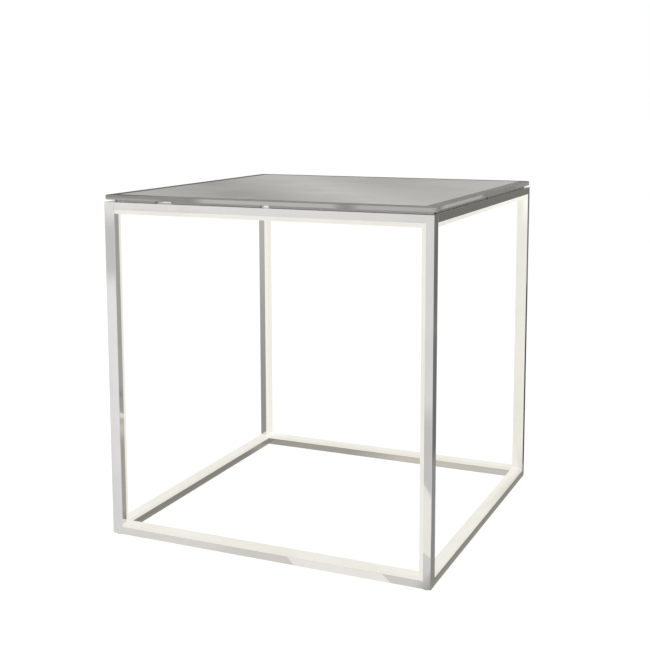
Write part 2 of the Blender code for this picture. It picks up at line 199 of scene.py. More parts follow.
# In degrees: where the strip stands, how far it leans for each degree of height, and where it fades
STRIP_BEARING, STRIP_HEIGHT, STRIP_LEAN = -24.4, 4.31, 3.0
STRIP_LEFT, STRIP_RIGHT, STRIP_TOP = (-60.0, -42.0), (-8.0, 10.0), (7.0, 12.0)

# Degrees across the strip, each with the light there
STRIP_PROFILE = ((-14.0, 0.52), (-10.0, 0.50), (-8.5, 0.475), (-7.3, 0.40), (-6.0, 0.31), (-4.5, 0.33),
                 (-3.2, 0.425), (-1.8, 0.55), (-0.8, 0.61), (0.2, 0.62), (1.2, 0.545), (2.3, 0.425),
                 (3.5, 0.40), (5.5, 0.41), (7.0, 0.425), (8.3, 0.475), (9.5, 0.54), (14.0, 0.55))

# How much lighter the strip's right side is at the top, and the degrees over which that comes in
SHINE, SHINE_ACROSS, SHINE_UPWARDS = 0.16, (-5.5, 0.0), (4.1, 5.15)


def in_degrees(tree, radians):
    """An angle in degrees."""
    return product(tree, radians, 180.0 / math.pi)


def profile(tree, value, stops):
    """A level that follows a list of (value, level) stops, joined smoothly."""
    low, high = stops[0][0], stops[-1][0]
    ramp = add(tree, "ShaderNodeValToRGB", {0: faded(tree, value, low, high, curve="LINEAR")})
    ramp.color_ramp.interpolation = "CARDINAL"
    elements = ramp.color_ramp.elements
    while len(elements) < len(stops):
        elements.new(0.5)
    for element, (at, level) in zip(elements, stops):
        element.position = (at - low) / (high - low)
        element.color = (level, level, level, 1.0)
    return ramp.outputs[0]


world = bpy.data.worlds.new("white_studio")
world.use_nodes = True
scene.world = world
sky = world.node_tree
sky.nodes.clear()
ray = on_axes(sky, add(sky, "ShaderNodeTexCoord").outputs["Generated"])
bearing = in_degrees(sky, maths(sky, "ARCTAN2", ray["X"], ray["Y"]))
height = in_degrees(sky, maths(sky, "ARCSINE", ray["Z"]))
room = faded(sky, ray["Z"], *CEILING_FADE, HORIZON, CEILING)
back_wall = product(sky, faded(sky, maths(sky, "ABSOLUTE", bearing), *BACK_WALL_SIDES, 1.0, 0.0),
                    faded(sky, height, *BACK_WALL_TOP, 1.0, 0.0))
room = blend(sky, back_wall, room, BACK_WALL)
lean = product(sky, maths(sky, "SUBTRACT", height, STRIP_HEIGHT), STRIP_LEAN)
from_strip = maths(sky, "SUBTRACT", maths(sky, "SUBTRACT", bearing, STRIP_BEARING), lean)
shine = product(sky, faded(sky, from_strip, *SHINE_ACROSS, 0.0, SHINE),
                faded(sky, height, *SHINE_UPWARDS, curve="LINEAR"))
strip = maths(sky, "ADD", profile(sky, from_strip, STRIP_PROFILE), shine)
near_strip = product(sky, faded(sky, bearing, *STRIP_LEFT), faded(sky, bearing, *STRIP_RIGHT, 1.0, 0.0))
near_strip = product(sky, near_strip, faded(sky, height, *STRIP_TOP, 1.0, 0.0))
room = blend(sky, near_strip, room, strip)
mirror_view = add(sky, "ShaderNodeBackground", {"Color": WARM_WHITE, "Strength": room})
matt_view = add(sky, "ShaderNodeBackground", {"Color": WHITE, "Strength": SOFT_LIGHT})
camera_view = add(sky, "ShaderNodeBackground", {"Color": WHITE, "Strength": 1.0})
path = add(sky, "ShaderNodeLightPath")
seen = either(sky, path.outputs["Is Glossy Ray"], matt_view, mirror_view)
seen = either(sky, path.outputs["Is Camera Ray"], seen, camera_view)
add(sky, "ShaderNodeOutputWorld", {"Surface": seen.outputs[0]})
print("world: soft light", SOFT_LIGHT, "horizon", HORIZON, "ceiling", CEILING)

# %% [markdown]
# ## The floor
#
# The floor is a plain white sheet that is so well lit that it shows as white, with only a trace of shade
# where the rails come near it. What the upright faces of the chrome reflect, seen from above, is this
# floor, so how bright it is in reflections is set apart from how it looks: bright in front and to the
# left, dim behind and to the right, and middling and warm between the bars, where the frame shades it and
# the light strips tint it. Each soft patch of light or shade has a place, a size and a level.

# %% Soft patches of light and shade
FLOOR_RADIUS = 30.0
FLOOR_WHITE, FLOOR_SHADE, FLOOR_BOUNCE = 0.93, 0.22, 0.45
FLOOR_TINT = (1.0, 0.995, 0.975)
TINT_BEHIND = (1.0, 1.0, 0.925)
TINT_BETWEEN_BARS = (1.0, 0.965, 0.86)

# Bearings in degrees, each with the level of the floor that way
BEARING_LEVELS = ((-180.0, 0.82), (-171.0, 0.83), (-164.0, 0.85), (-155.0, 0.885), (-146.0, 0.92),
                  (-143.4, 0.945), (-142.0, 0.905), (-140.0, 0.85), (-137.0, 0.80), (-130.0, 0.80),
                  (-112.0, 0.70), (-60.0, 0.42), (0.0, 0.21), (15.0, 0.21), (22.0, 0.19), (28.0, 0.195),
                  (37.0, 0.38), (50.0, 0.49), (70.0, 0.60), (120.0, 0.74), (180.0, 0.82))

# Bearings between which the floor behind the table comes in and goes out
BEHIND_FROM, BEHIND_TO = (-60.0, -20.0), (24.0, 32.0)

# Centre, turn in degrees, half length, half width and softness of each patch, and then its level
PATCHES = {
    "distant_shade": ((-2.05, -2.85), 35.0, 0.95, 0.36, 0.22, 0.66),
    "shade_before_right_leg": ((0.055, -0.71), -18.7, 0.20, 0.20, 0.08, 0.66),
    "foot_of_front": ((0.0, -0.275), 90.0, 0.26, 0.06, 0.03, 0.82),
    "foot_of_front_right": ((0.14, -0.275), 90.0, 0.205, 0.06, 0.03, 0.745),
    "shade_right": ((0.53, 0.68), 18.7, 0.52, 0.08, 0.06, 0.18),
    "shade_behind_right": ((0.46, 1.18), 13.7, 0.85, 0.07, 0.05, 0.09),
    "foot_of_left": ((-0.29, 0.06), 0.0, 0.24, 0.075, 0.01, 0.36),
    "behind_back_rail": ((0.11, 0.31), 90.0, 0.10, 0.10, 0.012, 0.41),
    "between_bars": ((0.0, 0.0), 0.0, 0.213, 0.213, 0.012, 0.43),
    "foot_of_left_inside": ((-0.192, 0.0), 0.0, 0.22, 0.02, 0.015, 0.29),
    "foot_of_back_left": ((-0.10, 0.192), 90.0, 0.12, 0.02, 0.03, 0.44),
    "foot_of_back_right": ((0.12, 0.192), 90.0, 0.14, 0.03, 0.06, 0.74),
    "foot_of_right": ((0.30, 0.12), 0.0, 0.40, 0.085, 0.02, 0.30),
    "foot_of_back_leg": ((0.275, 0.42), 13.9, 0.14, 0.03, 0.02, 0.11),
}
WARM_PATCH = ((0.02, 0.02), 0.0, 0.255, 0.245, 0.03)


def patch_mask(tree, point, centre, turn, half_length, half_width, softness):
    """One inside a turned rectangle on the floor, fading to zero across its soft edge."""
    angle = math.radians(turn)
    along, across = (math.sin(angle), math.cos(angle), 0.0), (math.cos(angle), -math.sin(angle), 0.0)
    offset = add(tree, "ShaderNodeVectorMath", {0: point, 1: (*centre, 0.0)}, operation="SUBTRACT").outputs[0]
    mask = 1.0
    for direction, half in ((along, half_length), (across, half_width)):
        reach = add(tree, "ShaderNodeVectorMath", {0: offset, 1: direction}, operation="DOT_PRODUCT")
        reach = maths(tree, "ABSOLUTE", reach.outputs["Value"])
        mask = product(tree, faded(tree, reach, half - softness, half + softness, 1.0, 0.0), mask)
    return mask


def new_tree(name):
    """A material and its graph, with nothing in it."""
    material = bpy.data.materials.new(name)
    material.use_nodes = True
    material.node_tree.nodes.clear()
    return material, material.node_tree


def floor_material():
    """White for the camera, soft light for matt surfaces, patches of light and shade for mirrors, and
    nothing at all for a camera that looks up from below."""
    material, tree = new_tree("studio_floor")
    point = add(tree, "ShaderNodeTexCoord").outputs["Object"]
    axes = on_axes(tree, point)
    bearing = in_degrees(tree, maths(tree, "ARCTAN2", axes["X"], axes["Y"]))
    level = profile(tree, bearing, BEARING_LEVELS)
    for *place, patch_level in PATCHES.values():
        level = blend(tree, patch_mask(tree, point, *place), level, patch_level)
    behind = product(tree, faded(tree, bearing, *BEHIND_FROM), faded(tree, bearing, *BEHIND_TO, 1.0, 0.0))
    tint = tinted(tree, behind, FLOOR_TINT, TINT_BEHIND)
    tint = tinted(tree, patch_mask(tree, point, *WARM_PATCH), tint, TINT_BETWEEN_BARS)
    mirror = add(tree, "ShaderNodeEmission", {"Color": tint, "Strength": level})
    white = add(tree, "ShaderNodeEmission", {"Color": WHITE, "Strength": FLOOR_WHITE})
    shade = add(tree, "ShaderNodeBsdfDiffuse", {"Color": (FLOOR_SHADE, FLOOR_SHADE, FLOOR_SHADE, 1.0)})
    sheet = add(tree, "ShaderNodeAddShader", {0: white.outputs[0], 1: shade.outputs[0]})
    bounce = add(tree, "ShaderNodeEmission", {"Color": WHITE, "Strength": FLOOR_BOUNCE})
    path = add(tree, "ShaderNodeLightPath")
    mix = either(tree, path.outputs["Is Glossy Ray"], bounce, mirror)
    mix = either(tree, path.outputs["Is Camera Ray"], mix, sheet)
    from_below = add(tree, "ShaderNodeNewGeometry").outputs["Backfacing"]
    mix = either(tree, from_below, mix, add(tree, "ShaderNodeBsdfTransparent"))
    add(tree, "ShaderNodeOutputMaterial", {"Surface": mix.outputs[0]})
    return material


print(len(PATCHES), "patches")

# %% Floor sheet
def stage_object(name, work, material):
    """A mesh that belongs to the studio, not to the table."""
    mesh = bpy.data.meshes.new(name)
    work.to_mesh(mesh)
    work.free()
    mesh.materials.append(material)
    item = bpy.data.objects.new(name, mesh)
    scene.collection.objects.link(item)
    return item


sheet_mesh = bmesh.new()
bmesh.ops.create_circle(sheet_mesh, cap_ends=True, segments=64, radius=FLOOR_RADIUS)
stage_object("studio_floor", sheet_mesh, floor_material())
print("floor radius", FLOOR_RADIUS, "m")

# %% [markdown]
# Two white cards lie on the floor in front of the table. They are out of the camera's sight and are seen
# only in the chrome: their edges give the crisp slanting ends of the bright patches on the front rail and
# low on the right-hand leg. Two grey flags stand upright, one to the left of the table, where the inner
# face of the back left leg looks, and one behind it, where that of the front left leg looks. They keep those
# faces darker than the front ones and even from top to bottom.

# %% Studio cards
CARD_TINT = (1.0, 0.98, 0.935, 1.0)

# In metres: how high the cards lie, how high the flags stand and where a flag's fade ends
CARD_LIFT, FLAG_TOP, FADE_TOP = 0.0004, 0.445, 0.45

# The corners of each card and the foot of each flag
RAIL_CARD = ((0.046, -0.2252), (0.1755, -0.2252), (0.148, -0.2555), (0.018, -0.2555))
LEG_CARD = ((0.165, -0.3416), (0.205, -0.309), (0.130, -0.523), (0.080, -0.594))
LEFT_FLAG = ((-0.36, -0.19), (-0.36, 0.20))
BACK_FLAG = ((0.09, 0.40), (0.256, 0.40))


def card_material(name, foot_level, top_level):
    """A sheet of light that changes evenly from its foot to its top."""
    material, tree = new_tree(name)
    axes = on_axes(tree, add(tree, "ShaderNodeTexCoord").outputs["Object"])
    level = faded(tree, axes["Z"], 0.0, FADE_TOP, foot_level, top_level)
    glow = add(tree, "ShaderNodeEmission", {"Color": CARD_TINT, "Strength": level})
    add(tree, "ShaderNodeOutputMaterial", {"Surface": glow.outputs[0]})
    return material


def card(name, corners, foot_level=1.0, top_level=1.0):
    """A flat card that only mirrors see."""
    work = bmesh.new()
    bmesh.ops.contextual_create(work, geom=[work.verts.new(corner) for corner in corners])
    item = stage_object(name, work, card_material(name, foot_level, top_level))
    item.visible_camera = item.visible_diffuse = item.visible_shadow = item.visible_transmission = False


def lying(corners):
    """The corners of a card that lies just above the floor."""
    return [(*corner, CARD_LIFT) for corner in corners]


def standing(foot):
    """The corners of a flag that stands on a line on the floor."""
    return [(*foot[0], 0.0), (*foot[1], 0.0), (*foot[1], FLAG_TOP), (*foot[0], FLAG_TOP)]


card("rail_card", lying(RAIL_CARD))
card("leg_card", lying(LEG_CARD))
card("left_flag", standing(LEFT_FLAG), foot_level=0.37, top_level=0.61)
card("back_card", standing(BACK_FLAG), foot_level=0.44, top_level=0.42)
print("four cards placed")

# %% [markdown]
# Broad soft lamps model the matt surfaces: one overhead, a key from the upper left, and a weak fill from
# the right. They are hidden from mirrors, which see the room instead.

# %% Soft lamps
TABLE_MIDDLE = Vector((0.0, 0.0, 0.25))

# Place and width in metres, and power in watts
LAMPS = {
    "overhead_lamp": ((0.0, 0.3, 2.4), 2.0, 14.0),
    "key_lamp": ((-1.6, -1.8, 1.6), 1.6, 8.0),
    "fill_lamp": ((2.2, -0.6, 1.2), 1.6, 3.0),
}


def soft_lamp(name, place, width, power):
    """A square lamp aimed at the middle of the table."""
    lamp = bpy.data.lights.new(name, "AREA")
    lamp.shape = "SQUARE"
    lamp.size = width
    lamp.energy = power
    item = bpy.data.objects.new(name, lamp)
    scene.collection.objects.link(item)
    aim = TABLE_MIDDLE - Vector(place)
    item.matrix_world = Matrix.Translation(place) @ aim.to_track_quat("-Z", "Y").to_matrix().to_4x4()
    item.visible_glossy = False


for lamp_name, settings in LAMPS.items():
    soft_lamp(lamp_name, *settings)
print(len(LAMPS), "soft lamps")

# %% [markdown]
# ## Effects that several finishes share
#
# Real surfaces are never quite even. Five small effects are built once as node groups, with their own
# inputs and outputs, and each material then uses them with its own numbers: fine lines left by polishing,
# a haze where hands and cloths have been, settled dust, a slight waviness of rolled or moulded faces, and
# a soft-edged place of a given size, where a strip or an edge is lighter or darker than elsewhere.

# %% Shared effect: fine lines
VALUE, VECTOR = "NodeSocketFloat", "NodeSocketVector"

# How coarse the broad lines are beside the fine ones, and the noise levels between which a line shows
BROAD_SHARE = 0.23
LINES_SEEN = (0.62, 0.74)


def new_group(name, inputs, outputs):
    """An empty node group: returns it, the values that it is given and those that it results in."""
    group = bpy.data.node_groups.new(name, "ShaderNodeTree")
    for socket_name, kind, value in inputs:
        socket = group.interface.new_socket(socket_name, in_out="INPUT", socket_type=kind)
        if value is not None:
            socket.default_value = value
    for socket_name in outputs:
        group.interface.new_socket(socket_name, in_out="OUTPUT", socket_type=VALUE)
    return group, group.nodes.new("NodeGroupInput").outputs, group.nodes.new("NodeGroupOutput").inputs


lines_group, given, result = new_group(
    "polishing_lines", [("Vector", VECTOR, None), ("Fineness", VALUE, 1.0)], ["Height", "Mask"])
fine = add(lines_group, "ShaderNodeTexNoise",
           {"Vector": given["Vector"], "Scale": given["Fineness"], "Detail": 3.0})
broad = add(lines_group, "ShaderNodeTexNoise",
            {"Vector": given["Vector"], "Scale": product(lines_group, given["Fineness"], BROAD_SHARE),
             "Detail": 1.0})
lines_group.links.new(maths(lines_group, "ADD", fine.outputs["Fac"], broad.outputs["Fac"]), result["Height"])
lines_group.links.new(faded(lines_group, fine.outputs["Fac"], *LINES_SEEN), result["Mask"])
print("group polishing_lines")

# %% Shared effect: handling haze
# The noise levels between which the haze comes in
HAZE_SEEN = (0.42, 0.68)

haze_group, given, result = new_group(
    "handling_haze", [("Vector", VECTOR, None), ("Patch Size", VALUE, 0.05), ("Clean", VALUE, 0.05),
                      ("Hazy", VALUE, 0.12)], ["Roughness", "Mask"])
patches = add(haze_group, "ShaderNodeTexNoise",
              {"Vector": given["Vector"], "Detail": 5.0, "Roughness": 0.62,
               "Scale": maths(haze_group, "DIVIDE", 1.0, given["Patch Size"])})
hazy = faded(haze_group, patches.outputs["Fac"], *HAZE_SEEN)
haze_group.links.new(hazy, result["Mask"])
spread = faded(haze_group, hazy, 0.0, 1.0, given["Clean"], given["Hazy"], curve="LINEAR")
haze_group.links.new(spread, result["Roughness"])
print("group handling_haze")

# %% Shared effect: settled dust
# Where a speck ends, where the film between the specks comes in and how thick it is beside them, and how
# far up a face must look for dust to lie on it
SPECK_EDGE = (0.10, 0.26)
FILM_SEEN, FILM_SHARE = (0.4, 0.7), 0.35
FACING_UP = (0.5, 0.95)

dust_group, given, result = new_group(
    "settled_dust", [("Vector", VECTOR, None), ("Amount", VALUE, 0.3)], ["Mask"])
specks = add(dust_group, "ShaderNodeTexVoronoi", {"Vector": given["Vector"], "Scale": 900.0})
film = add(dust_group, "ShaderNodeTexNoise", {"Vector": given["Vector"], "Scale": 14.0, "Detail": 4.0})
facing = on_axes(dust_group, add(dust_group, "ShaderNodeNewGeometry").outputs["Normal"])
upward = faded(dust_group, facing["Z"], *FACING_UP)
dots = faded(dust_group, specks.outputs["Distance"], *SPECK_EDGE, 1.0, 0.0)
coat = product(dust_group, faded(dust_group, film.outputs["Fac"], *FILM_SEEN), FILM_SHARE)
amount = product(dust_group, maths(dust_group, "MAXIMUM", dots, coat), given["Amount"])
dust_group.links.new(product(dust_group, amount, upward), result["Mask"])
print("group settled_dust")

# %% Shared effect: slight waviness
wave_group, given, result = new_group(
    "slight_waviness", [("Vector", VECTOR, None), ("Wavelength", VALUE, 0.08)], ["Height"])
swell = add(wave_group, "ShaderNodeTexNoise",
            {"Vector": given["Vector"], "Detail": 0.0,
             "Scale": maths(wave_group, "DIVIDE", 1.0, given["Wavelength"])})
wave_group.links.new(swell.outputs["Fac"], result["Height"])
print("group slight_waviness")

# %% Shared effect: a soft-edged place
place_group, given, result = new_group(
    "soft_place", [("Vector", VECTOR, None), ("Centre", VECTOR, (0.0, 0.0, 0.0)),
                   ("Half Size", VECTOR, (0.05, 0.05, 0.001)), ("Softness", VECTOR, (0.01, 0.01, 0.0006))],
    ["Mask"])
offset = given["Vector"]
for operation, other in (("SUBTRACT", "Centre"), ("ABSOLUTE", None), ("SUBTRACT", "Half Size"),
                         ("DIVIDE", "Softness")):
    wires = {0: offset, 1: given[other]} if other else {0: offset}
    offset = add(place_group, "ShaderNodeVectorMath", wires, operation=operation).outputs[0]
past = on_axes(place_group, offset)
furthest = maths(place_group, "MAXIMUM", past["X"], maths(place_group, "MAXIMUM", past["Y"], past["Z"]))
place_group.links.new(faded(place_group, furthest, -1.0, 1.0, 1.0, 0.0), result["Mask"])
print("group soft_place")

# %% [markdown]
# ## Starting a material
#
# Every finish starts the same way: an empty material with one Principled shader, and its coordinates in
# metres on the piece. Numbers that are the same all over are set on the shader itself, and only what
# changes over the surface is wired. Most finishes are hazed, so one helper wires the haze, and another
# makes the whole of a plain hazed finish.

# %% Material helpers
def new_finish(name, **settings):
    """A material, its graph, its Principled shader's inputs and the piece's coordinates."""
    material = bpy.data.materials.new(name)
    material.use_nodes = True
    tree = material.node_tree
    shader = tree.nodes["Principled BSDF"].inputs
    for socket, value in settings.items():
        shader[socket.replace("_", " ")].default_value = value
    return material, tree, shader, on_piece(tree)


def on_piece(tree, stretch=(1.0, 1.0, 1.0)):
    """The piece's own coordinates in metres, drawn out or pressed together along each axis."""
    place = add(tree, "ShaderNodeTexCoord").outputs["Object"]
    return add(tree, "ShaderNodeMapping", {"Vector": place, "Scale": stretch}).outputs[0]


def use(tree, group, **wires):
    """A shared effect placed in a material: returns its outputs."""
    wires = {name.replace("_", " "): value for name, value in wires.items()}
    return add(tree, "ShaderNodeGroup", wires, node_tree=group).outputs


def bump(tree, height, distance, under=None):
    """A normal tilted by a height, which is given in metres by the distance."""
    wires = {"Height": height, "Distance": distance}
    if under is not None:
        wires["Normal"] = under
    return add(tree, "ShaderNodeBump", wires).outputs["Normal"]


def grained(tree, shader, place, fineness, depth):
    """Gives a finish a fine grain, whose depth is in metres."""
    grain = add(tree, "ShaderNodeTexNoise", {"Vector": place, "Scale": fineness})
    tree.links.new(bump(tree, grain.outputs["Fac"], depth), shader["Normal"])


def hazed(tree, shader, place, patch, clean, hazy):
    """Lets the haze change a finish's roughness in patches: returns where it is hazy."""
    haze = use(tree, haze_group, Vector=place, Patch_Size=patch, Clean=clean, Hazy=hazy)
    tree.links.new(haze["Roughness"], shader["Roughness"])
    return haze["Mask"]


def hazed_finish(name, patch, clean, hazy, colour, hazed_colour, grain=None, **settings):
    """A finish with one colour where it is clean and another where it is hazy, and maybe a grain."""
    material, tree, shader, place = new_finish(name, **settings)
    mask = hazed(tree, shader, place, patch, clean, hazy)
    tree.links.new(tinted(tree, mask, colour, hazed_colour), shader["Base Color"])
    if grain:
        grained(tree, shader, place, *grain)
    return material


print("material helpers ready")

# %% [markdown]
# ## Polished chrome
#
# The channels are rolled steel, plated and buffed along their length. Buffing leaves lines that are far
# finer than a hair and run with the bar, so the pattern is pressed together across the bar and drawn out
# along it. A bar that lies along X, one along Y and an upright one therefore need one material each, all
# made by the same function.

# %% Chrome for each direction
CHROME_COLOUR = (0.81, 0.80, 0.805)
CHROME_HAZED = (0.785, 0.775, 0.775)

# Lines across a metre and how far they are drawn out, what they add to the roughness, and their depth
LINE_FINENESS, LINE_STRETCH = 9000.0, 0.012
LINE_ROUGHNESS, LINE_DEPTH = 0.05, 0.00000008
WAVELENGTH, WAVE_DEPTH = 0.11, 0.00003


def polished_chrome(axis):
    """Buffed chrome whose lines run along one axis."""
    material, tree, shader, place = new_finish("polished_chrome_" + "xyz"[axis], Metallic=1.0)
    stretch = [1.0, 1.0, 1.0]
    stretch[axis] = LINE_STRETCH
    lines = use(tree, lines_group, Vector=on_piece(tree, stretch), Fineness=LINE_FINENESS)
    haze = use(tree, haze_group, Vector=place, Patch_Size=0.045, Clean=0.045, Hazy=0.095)
    tree.links.new(tinted(tree, haze["Mask"], CHROME_COLOUR, CHROME_HAZED), shader["Base Color"])
    rough = maths(tree, "ADD", haze["Roughness"], product(tree, lines["Mask"], LINE_ROUGHNESS))
    tree.links.new(rough, shader["Roughness"])
    rolled = bump(tree, use(tree, wave_group, Vector=place, Wavelength=WAVELENGTH)["Height"], WAVE_DEPTH)
    tree.links.new(bump(tree, lines["Height"], LINE_DEPTH, rolled), shader["Normal"])
    return material


chrome = [polished_chrome(axis) for axis in range(3)]
print("chrome:", [material.name for material in chrome])

# %% [markdown]
# ## Opal light strip
#
# The diffuser is cream opal plastic with the tape's light behind it. Lit from within it is almost even,
# so its own glow carries most of its brightness. What keeps it from looking flat is a very faint cloudiness,
# the fine-grained satin skin that such extrusions have, and light that isn't quite the same all round: in
# the photograph the strips are brighter along the right top rail towards the back and up the back left
# leg, and dimmer low at the back right corner.

# %% Opal
OPAL = (0.43, 0.42, 0.37)
OPAL_CLOUD = (0.41, 0.40, 0.34)
GLOW = (0.763, 0.751, 0.70)
GLOW_CLOUD = (0.734, 0.722, 0.659)
GLOW_BRIGHT = (0.90, 0.885, 0.825)
GLOW_LIVELY = (0.82, 0.805, 0.75)
GLOW_DIM = (0.63, 0.62, 0.575)
OPAL_GLOW = 0.81

# How fine the satin grain is, and its depth in metres
OPAL_GRAIN = (2600.0, 0.000012)

# Centre, half size and softness of each uneven place, in metres, with its colour
UNEVEN_LIGHT = (
    ((HALF, 0.25, 0.435), (0.006, 0.26, 0.03), (0.004, 0.17, 0.02), GLOW_BRIGHT),
    ((-0.22, 0.22, 0.225), (0.03, 0.03, 0.22), (0.02, 0.02, 0.04), GLOW_LIVELY),
    ((HALF, 0.25, 0.0), (0.006, 0.20, 0.04), (0.004, 0.07, 0.02), GLOW_DIM),
)

opal, tree, shader, place = new_finish("opal_diffuser", Emission_Strength=OPAL_GLOW, IOR=1.49)
cloud = hazed(tree, shader, place, patch=0.06, clean=0.36, hazy=0.46)
tree.links.new(tinted(tree, cloud, OPAL, OPAL_CLOUD), shader["Base Color"])
glow = tinted(tree, cloud, GLOW, GLOW_CLOUD)
for centre, half_size, softness, colour in UNEVEN_LIGHT:
    uneven = use(tree, place_group, Vector=place, Centre=centre, Half_Size=half_size, Softness=softness)
    glow = tinted(tree, uneven["Mask"], glow, colour)
tree.links.new(glow, shader["Emission Color"])
grained(tree, shader, place, *OPAL_GRAIN)
print("opal glow", OPAL_GLOW)

# %% [markdown]
# ## Grey glass
#
# The top is grey glass, nearly opaque. Seen at a low angle its smooth face works as a soft mirror, and seen
# from above it is an even grey. A light bloom of handling changes its roughness slowly, and a little dust
# lies on it. The edge is another finish, ground and polished, with a faint painted glow and stretches of
# painted highlight, paler in its colour and brighter in its glow. The narrow arris round the upper rim is
# only ground, so it stays dull and darker.

# %% Glass face, edge and arris
DUST = (0.6, 0.6, 0.58)
GLASS_GREY, GLASS_BLOOM = (0.505, 0.50, 0.475), (0.525, 0.52, 0.49)
EDGE_GREY, EDGE_HIGHLIGHT_GREY = (0.40, 0.395, 0.375), (0.86, 0.855, 0.825)
EDGE_DIM, EDGE_HIGHLIGHT_GLOW = (0.24, 0.235, 0.22), (0.96, 0.94, 0.88)
EDGE_PAINTED_GLOW = 0.15
ARRIS_GREY, ARRIS_HAZED = (0.36, 0.36, 0.345), (0.42, 0.42, 0.40)
ARRIS_GRAIN = (6000.0, 0.000008)

glass_face, tree, shader, place = new_finish("grey_glass_face", IOR=1.5)
haze = use(tree, haze_group, Vector=place, Patch_Size=0.16, Clean=0.055, Hazy=0.085)
dust = use(tree, dust_group, Vector=place, Amount=0.10)["Mask"]
grey = tinted(tree, haze["Mask"], GLASS_GREY, GLASS_BLOOM)
tree.links.new(tinted(tree, dust, grey, DUST), shader["Base Color"])
tree.links.new(maths(tree, "ADD", haze["Roughness"], dust), shader["Roughness"])

# Centre and half size of each painted highlight on the edge, in metres, and how strong it is
EDGE_MIDDLE = (glass_low.z + glass_high.z) / 2
PAINTED_EDGE_HIGHLIGHTS = (
    ((-0.19, -HALF, EDGE_MIDDLE - 0.0020), (0.04, 0.002, 0.0010), 0.55),
    ((0.010, -HALF, EDGE_MIDDLE - 0.0006), (0.088, 0.002, 0.0026), 0.95),
    ((0.20, -HALF, EDGE_MIDDLE - 0.0006), (0.068, 0.002, 0.0028), 0.80),
    ((HALF, -0.1125, EDGE_MIDDLE + 0.0002), (0.002, 0.078, 0.0018), 1.0),
    ((HALF, 0.20, EDGE_MIDDLE + 0.0004), (0.002, 0.05, 0.0020), 0.30),
    ((-0.04, HALF, EDGE_MIDDLE - 0.0003), (0.12, 0.002, 0.0018), 0.7),
    ((-HALF, 0.06, EDGE_MIDDLE + 0.0003), (0.002, 0.11, 0.0018), 0.6),
)
HIGHLIGHT_SOFTNESS = (0.02, 0.02, 0.0006)

# Painted light and painted highlights: the edge glows faintly all over, and where the highlights lie its
# colour is paler and its glow brighter.
glass_edge, tree, shader, place = new_finish("polished_glass_edge", IOR=1.5, Emission_Strength=EDGE_PAINTED_GLOW)
hazed(tree, shader, place, patch=0.03, clean=0.08, hazy=0.16)
pale = 0.0
for centre, half_size, share in PAINTED_EDGE_HIGHLIGHTS:
    stretch = use(tree, place_group, Vector=place, Centre=centre, Half_Size=half_size,
                  Softness=HIGHLIGHT_SOFTNESS)
    pale = maths(tree, "MAXIMUM", product(tree, stretch["Mask"], share), pale)
tree.links.new(tinted(tree, pale, EDGE_GREY, EDGE_HIGHLIGHT_GREY), shader["Base Color"])
tree.links.new(tinted(tree, pale, EDGE_DIM, EDGE_HIGHLIGHT_GLOW), shader["Emission Color"])

ground_arris = hazed_finish("ground_arris", patch=0.008, clean=0.38, hazy=0.52, colour=ARRIS_GREY,
                            hazed_colour=ARRIS_HAZED, grain=ARRIS_GRAIN, IOR=1.5)
print("glass finishes:", glass_face.name, glass_edge.name, ground_arris.name)

# %% Glass border and underside
RIM_WIDTH = 0.014
RIM_SHADE_GREY, RIM_SHADE_HAZED, RIM_FAR_SHADE = (0.295, 0.295, 0.28), (0.33, 0.33, 0.315), (0.14, 0.14, 0.13)

# In metres: between which places the border takes its far colour, a deeper painted shade
RIM_TO_BACK, RIM_TO_LEFT = (0.202, 0.212), (-0.20, -0.12)
UNDERSIDE_GREY, UNDERSIDE_HAZED = (0.46, 0.46, 0.44), (0.50, 0.50, 0.475)
UNDERSIDE_PAINTED_GLOW = 0.20

# Painted shade: the border is darker than the face, and darker still along the back and left sides.
rim_band, tree, shader, place = new_finish("glass_rim", IOR=1.40)
grey = tinted(tree, hazed(tree, shader, place, patch=0.05, clean=0.75, hazy=0.85), RIM_SHADE_GREY, RIM_SHADE_HAZED)
axes = on_axes(tree, place)
far = maths(tree, "MAXIMUM", faded(tree, axes["Y"], *RIM_TO_BACK),
            faded(tree, axes["X"], *RIM_TO_LEFT, 1.0, 0.0))
grey = tinted(tree, far, grey, RIM_FAR_SHADE)
dust = use(tree, dust_group, Vector=place, Amount=0.08)["Mask"]
tree.links.new(tinted(tree, dust, grey, DUST), shader["Base Color"])

# Painted light: the underside glows a little in its own grey, standing for light that comes through the
# plate.
underside, tree, shader, place = new_finish("glass_underside", IOR=1.5, Emission_Strength=UNDERSIDE_PAINTED_GLOW)
grey = tinted(tree, hazed(tree, shader, place, patch=0.16, clean=0.10, hazy=0.16),
              UNDERSIDE_GREY, UNDERSIDE_HAZED)
tree.links.new(grey, shader["Base Color"])
tree.links.new(grey, shader["Emission Color"])
print("border and underside:", rim_band.name, underside.name)

# %% [markdown]
# ## Foam tape, steel, board and small parts
#
# The dark line under the glass is a pale grey closed-cell foam tape that lies in the shade. Its cells show
# as fine pits, and a faint painted glow stands for the strips' light that passes through it. Along the right
# side it is a darker copy with less glow: painted shade. The brackets are zinc-plated steel with faint
# spangles. The light tape is a white board, and its chips carry a yellow phosphor. The pads are clear
# silicone, the socket is black moulded plastic with a spark-eroded grain, its pin is nickel plated and the
# leads have a soft white jacket.

# %% Foam tape
FOAM_DARK, FOAM_LIGHT = (0.66, 0.66, 0.64), (0.76, 0.76, 0.735)
# Greys of the right side's copy, darker as painted shade
SHADED_FOAM_DARK, SHADED_FOAM_LIGHT = (0.47, 0.47, 0.445), (0.56, 0.56, 0.535)
FOAM_CELLS, PIT_EDGE, PIT_DEPTH = 2200.0, (0.1, 0.5), 0.00006


